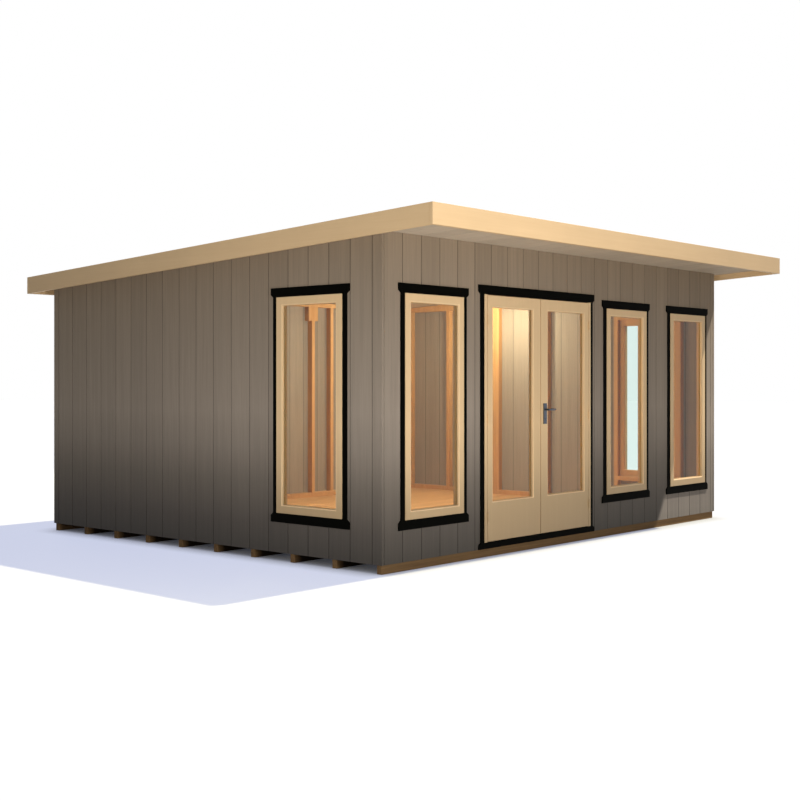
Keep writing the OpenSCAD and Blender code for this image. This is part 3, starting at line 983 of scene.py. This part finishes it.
# %% The seals between the doors
SEAL_REACH = 0.0034
SEAL_DEPTH = 0.016
# The middle of the seal behind the leaf's face, and how far it stops short of the leaf's ends
SEAL_BEHIND = 0.014
SEAL_SHORT = 0.004
SEAL_STEPS = 12


def stretched_outline(outline, low, high):
    """A function that fills a bmesh with an outline in X and Y, drawn up from low to high."""
    def build(bm):
        closed_tube(bm, [[bm.verts.new((x, y, z)) for x, y in outline] for z in (low, high)])
    return build


for side, end, outward in (("left", 1, 1), ("right", 0, -1)):
    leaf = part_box(side + "_leaf")
    edge, middle = leaf[end].x, leaf[0].y + SEAL_BEHIND
    turns = [math.pi * k / SEAL_STEPS for k in range(SEAL_STEPS + 1)]
    outline = [
        (edge + outward * SEAL_REACH * math.sin(t), middle - SEAL_DEPTH / 2 * math.cos(t)) for t in turns
    ]
    seal = stretched_outline(outline, leaf[0].z + SEAL_SHORT, leaf[1].z - SEAL_SHORT)
    new_piece(side + "_door_seal", side + "_door", rubber, seal)

# %% [markdown]
# The handle plates have two screws each, on both faces of the door. A disc for a screw would look
# like a sticker. Each screw is a low dome in two halves with a slot between them.

# %% Screws
SCREW_INSET = 0.010
SCREW_RADIUS = 0.0038
SCREW_RISE = 0.0012
# Half of the slot's width, as a share of the screw's radius
SLOT_SHARE = 0.14
# The rim of a dome stands up by this share of its height, and the rest curves
RIM_SHARE = 0.45
# The share of a quarter turn at which the dome's top closes
DOME_END = 0.98
DOME_ROWS = 4
DOME_STEPS = 24
plate_low, plate_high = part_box("handle_plates")
plate_x = (plate_low.x + plate_high.x) / 2
PLATE_FACES = ((plate_low.y, -1), (plate_high.y, 1))


def dome(bm, centre, radius, height, outward):
    """Half of a low dome on each side of a slot that runs up and down, facing along Y."""
    turns = [math.pi * k / DOME_STEPS - math.pi / 2 for k in range(DOME_STEPS + 1)]
    for side in (-1, 1):
        rows = []
        for r in range(DOME_ROWS + 1):
            part = r / DOME_ROWS
            reach = radius * math.cos(part * math.pi / 2 * DOME_END)
            rise = height * (RIM_SHARE + (1 - RIM_SHARE) * math.sin(part * math.pi / 2))
            row = []
            for t in turns:
                x = side * max(radius * SLOT_SHARE, reach * math.cos(t))
                z = reach * math.sin(t)
                row.append(bm.verts.new((centre[0] + x, centre[1] + outward * rise, centre[2] + z)))
            rows.append(row)
        base = [bm.verts.new((vert.co.x, centre[1], vert.co.z)) for vert in rows[0]]
        closed_tube(bm, [base, *rows])


def plate_screws(bm):
    for y, outward in PLATE_FACES:
        for z in (plate_low.z + SCREW_INSET, plate_high.z - SCREW_INSET):
            dome(bm, (plate_x, y, z), SCREW_RADIUS, SCREW_RISE, outward)


new_piece("plate_screws", "right_door", steel, plate_screws)

# %% [markdown]
# Below the lever each plate has a lock cylinder. Its outline, a circle that runs into a stem, could be
# two solids that are joined, which leaves a seam. Here one ring of points goes round both, and three
# such rings give the cylinder its edge.

# %% The lock
LOCK_BELOW = 0.072
LOCK_RADIUS = 0.0085
LOCK_STEM = 0.005
LOCK_LENGTH = 0.033
LOCK_PROUD = 0.0016
STEM_STEPS = 8
# Each ring of the cylinder: the scale of its outline, and its height as a share of the whole
LOCK_RINGS = ((1.0, -0.5), (1.0, 0.8), (0.95, 1.0))
lever_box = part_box("lever")
lock_z = (lever_box[0].z + lever_box[1].z) / 2 - LOCK_BELOW


def lock_outline(radius, stem, length, steps):
    """A circle that runs into a stem with a round end, as pairs of X and Z."""
    turn = math.asin(stem / radius)
    points = []
    for k in range(steps + 1):
        t = -math.pi / 2 + turn + (2 * math.pi - 2 * turn) * k / steps
        points.append((plate_x + radius * math.cos(t), lock_z + radius * math.sin(t)))
    foot = lock_z + radius - length + stem
    for k in range(STEM_STEPS + 1):
        t = math.pi + math.pi * k / STEM_STEPS
        points.append((plate_x + stem * math.cos(t), foot + stem * math.sin(t)))
    return points


def lock(bm):
    outline = lock_outline(LOCK_RADIUS, LOCK_STEM, LOCK_LENGTH, steps=20)
    middle = lock_z - LOCK_LENGTH / 4
    for y, outward in PLATE_FACES:
        rings = []
        for scale, rise in LOCK_RINGS:
            face = y + outward * LOCK_PROUD * rise
            around = [(plate_x + (x - plate_x) * scale, middle + (z - middle) * scale) for x, z in outline]
            rings.append([bm.verts.new((x, face, z)) for x, z in around])
        closed_tube(bm, rings)


new_piece("lock_cylinder", "right_door", steel, lock)

# %% [markdown]
# The slot for the key could be cut into the cylinder. At this size a dark piece with the same kind of
# outline, as thin as paint on the cylinder's face, looks the same and needs no cutting.

# %% The slot for the key
KEY_RADIUS = 0.0026
KEY_STEM = 0.0009
KEY_LENGTH = 0.0095
KEY_RAISED = 0.001
# The slot starts inside the cylinder and stands proud of it by this much
KEY_START = LOCK_PROUD * 0.9
KEY_PROUD = 0.0002


def key_slot(bm):
    """The dark slot for the key, as thin as paint on the face of the lock."""
    outline = lock_outline(KEY_RADIUS, KEY_STEM, KEY_LENGTH, steps=12)
    for y, outward in PLATE_FACES:
        faces = (y + outward * KEY_START, y + outward * (LOCK_PROUD + KEY_PROUD))
        closed_tube(bm, [[bm.verts.new((x, face, z + KEY_RAISED)) for x, z in outline] for face in faces])


new_piece("key_slots", "right_door", black_paint, key_slot)

# %% [markdown]
# The room stands on a plain pale floor. Its colour could be bright enough to be white by itself,
# but then it would light the room from below. So only the rays that the eye, a mirror or a pane
# sends see it lifted towards white; all other light meets a plain grey. The lift is less where the
# room is near, so the ground is darker under its edge, and the sun's shadow stays.

# %% The floor around the room
PLAIN_GREY = (0.165, 0.165, 0.165, 1)
SEEN_COLOUR = (0.275, 0.26, 0.17, 1)
SEEN_LIFT = (0.545, 0.585, 0.765)
NEAR = 0.22
FLOOR_REACH = 60.0


def seen_rays(finish):
    """A wire that is 1 for rays from the camera, a mirror or a pane."""
    kinds = ("Is Camera Ray", "Is Glossy Ray", "Is Transmission Ray")
    camera_ray, glossy_ray, transmission_ray = [finish.add("LightPath", out=kind) for kind in kinds]
    return camera_ray.sum("MAXIMUM", glossy_ray).sum("MAXIMUM", transmission_ray)


def ground_finish():
    finish = Finish("floor")
    plain = finish.add("BsdfDiffuse", None, {"Color": PLAIN_GREY})
    catcher = finish.add("BsdfDiffuse", None, {"Color": SEEN_COLOUR})
    clear = finish.add("AmbientOcclusion", {"samples": 8}, {"Distance": NEAR}, out="AO")
    lift = finish.add("Emission", None, {"Color": toned(finish, SEEN_LIFT, clear), "Strength": 1.0})
    lifted = finish.add("AddShader", None, {0: catcher, 1: lift})
    shader = finish.add("MixShader", None, {0: seen_rays(finish), 1: plain, 2: lifted})
    return finish.finish_with(shader)


corners = [(FLOOR_REACH * (2 * i - 1), FLOOR_REACH * (2 * j - 1), 0) for i, j in SQUARE]
floor_mesh = bpy.data.meshes.new("floor")
floor_mesh.from_pydata(corners, [], [range(4)])
floor_mesh.materials.append(ground_finish())
floor = bpy.data.objects.new("floor", floor_mesh)
bpy.context.scene.collection.objects.link(floor)
print("floor:", 2 * FLOOR_REACH, "metres across")

# %% [markdown]
# The background is white to the same rays, at a strength of 1, and a faint blue sky to all others. A
# white world for all light would fill every shadow, also the deep ones under the eaves.

# %% The surroundings
SKY = (0.86, 0.92, 1.0, 1)
SKY_STRENGTH = 0.08

surroundings = Finish("surroundings", "worlds", "OutputWorld")
sky = surroundings.add("Background", None, {"Color": SKY, "Strength": SKY_STRENGTH})
white = surroundings.add("Background", None, {"Color": (1, 1, 1, 1), "Strength": 1.0})
choice = surroundings.add("MixShader", None, {0: seen_rays(surroundings), 1: sky, 2: white})
bpy.context.scene.world = surroundings.finish_with(choice)
print("world:", bpy.context.scene.world.name)

# %% [markdown]
# The light is a high sun from the right, whose shadows fall to the left, and three broad soft lamps,
# in front, at the left side and behind. A sun alone would leave the walls black under the deep eaves;
# soft lamps alone would lose the shadow on the ground. Nobody sees the lamps themselves.

# %% The sun and the soft lamps
SUN_TRAVEL = (-0.4787, 0.1926, -0.8566)
SUNLIGHT = (1.0, 0.95, 0.86)
DAYLIGHT = (1.0, 0.98, 0.95)


def new_lamp(name, kind, energy, colour):
    data = bpy.data.lights.new(name, kind)
    data.energy = energy
    data.color = colour
    lamp = bpy.data.objects.new(name, data)
    bpy.context.scene.collection.objects.link(lamp)
    print("lamp:", name, energy)
    return lamp


def aim(lamp, travel):
    """Turns a lamp so that it shines along a direction."""
    lamp.rotation_euler = Vector(travel).to_track_quat("-Z", "Y").to_euler()


def stand(lamp, spot):
    """Puts a lamp in its place, where it lights but isn't seen."""
    lamp.location = spot
    lamp.visible_camera = False
    lamp.visible_glossy = False
    lamp.visible_transmission = False


def soft_lamp(name, spot, target, size, energy):
    lamp = new_lamp(name, "AREA", energy, DAYLIGHT)
    lamp.data.shape = "RECTANGLE"
    lamp.data.size, lamp.data.size_y = size
    stand(lamp, spot)
    aim(lamp, Vector(target) - Vector(spot))
    return lamp


sun = new_lamp("sun", "SUN", 6.2, SUNLIGHT)
sun.data.angle = math.radians(1.0)
aim(sun, SUN_TRAVEL)
front_lamp = soft_lamp("front lamp", (-2.9, -6.6, 1.1), (-1.9, -1.7, 1.2), (1.6, 1.6), 155)
side_lamp = soft_lamp("side lamp", (-6.4, -2.3, 1.1), (-2.4, -1.5, 1.2), (1.6, 1.6), 84)
soft_lamp("back lamp", (1.0, 8.5, 2.6), (0.4, 2.2, 1.2), (2.4, 1.6), 190)

# %% [markdown]
# Indoors a round lamp hangs in the middle of the room, and a warmer one stands by the right wall and
# makes the bright spot there. The studs of the back wall are lit by a third, from the right alone, so
# that their left sides stay in shade. Light linking says which pieces a lamp lights: the framing is
# left out for the front and side lamps, whose light would come through the glass and flatten it.

# %% The lamps indoors
LAMPLIGHT = (1.0, 0.90, 0.76)
WARM_LIGHT = (1.0, 0.87, 0.66)


def bulb(name, spot, radius, energy, colour):
    lamp = new_lamp(name, "POINT", energy, colour)
    lamp.data.shadow_soft_size = radius
    stand(lamp, spot)
    return lamp


def link_light(name, lamps, solids, state):
    """Leaves solids out of what lamps light, or lets the lamps light nothing else."""
    linked = bpy.data.collections.new(name)
    for solid_name in solids:
        linked.objects.link(nodes[solid_name])
    for lamp in lamps:
        lamp.light_linking.receiver_collection = linked
    for held in linked.collection_objects:
        held.light_linking.link_state = state


room_lamp = bulb("room lamp", (0.0, 0.5, 1.95), 0.2, 80, LAMPLIGHT)
bulb("wall lamp", (1.85, 0.55, 2.0), 0.08, 38, WARM_LIGHT)
stud_lamp = bulb("stud lamp", (1.9, 0.55, 1.9), 0.05, 118, LAMPLIGHT)
link_light("indoors", (front_lamp, side_lamp), FRAMING, "EXCLUDE")
link_light("room lamp studs", (room_lamp,), ("frame_back",), "EXCLUDE")
link_light("stud lamp studs", (stud_lamp,), ("frame_back",), "INCLUDE")

# %% [markdown]
# The camera stands at the height of a person's chest, to the left of the room and well in front,
# and looks level, so that every upright stays upright in the picture.

# %% Camera
camera_data = bpy.data.cameras.new("camera")
camera_data.lens = 57.11
camera_data.sensor_width = 36.0
camera_data.shift_x = 0.0351
camera_data.shift_y = -0.0262
camera = bpy.data.objects.new("camera", camera_data)
camera.location = (-8.974, -7.524, 1.350)
camera.rotation_euler = (math.pi / 2, 0, -0.8385)
bpy.context.scene.collection.objects.link(camera)
bpy.context.scene.camera = camera
bpy.context.scene.view_settings.view_transform = "Standard"
print("camera:", [round(value, 2) for value in camera.location])
